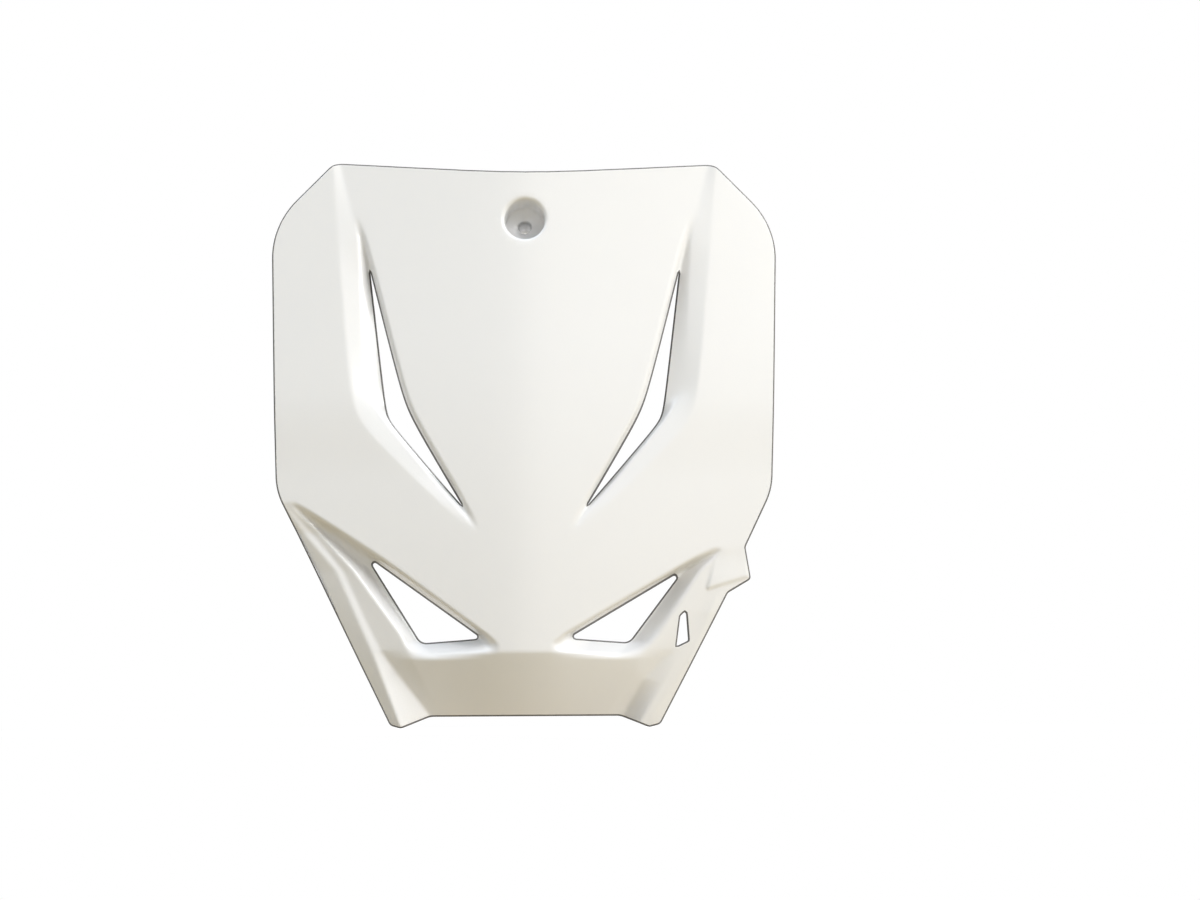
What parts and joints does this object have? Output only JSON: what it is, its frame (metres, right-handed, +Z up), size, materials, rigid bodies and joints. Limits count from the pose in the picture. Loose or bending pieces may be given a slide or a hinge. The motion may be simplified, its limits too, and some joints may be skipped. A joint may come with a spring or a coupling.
{
  "type": "motorcycle number board",
  "caption": "White moulded front number board for an off-road motorcycle, with curved air slots, eye-shaped openings and a recessed top bolt cup.",
  "frame": {"origin": "where the head of the top bolt seats, on the floor of the cup near the top edge", "axes": "+Z up along the board as it is mounted, +X to the right of the face as it is seen, -Y out of the face towards the viewer"},
  "size_m": [0.243, 0.045, 0.2696],
  "materials": {
    "white_plastic": "gloss"
  },
  "bodies": {
    "root": {"number_board": "white_plastic"}
  },
  "joints": []
}
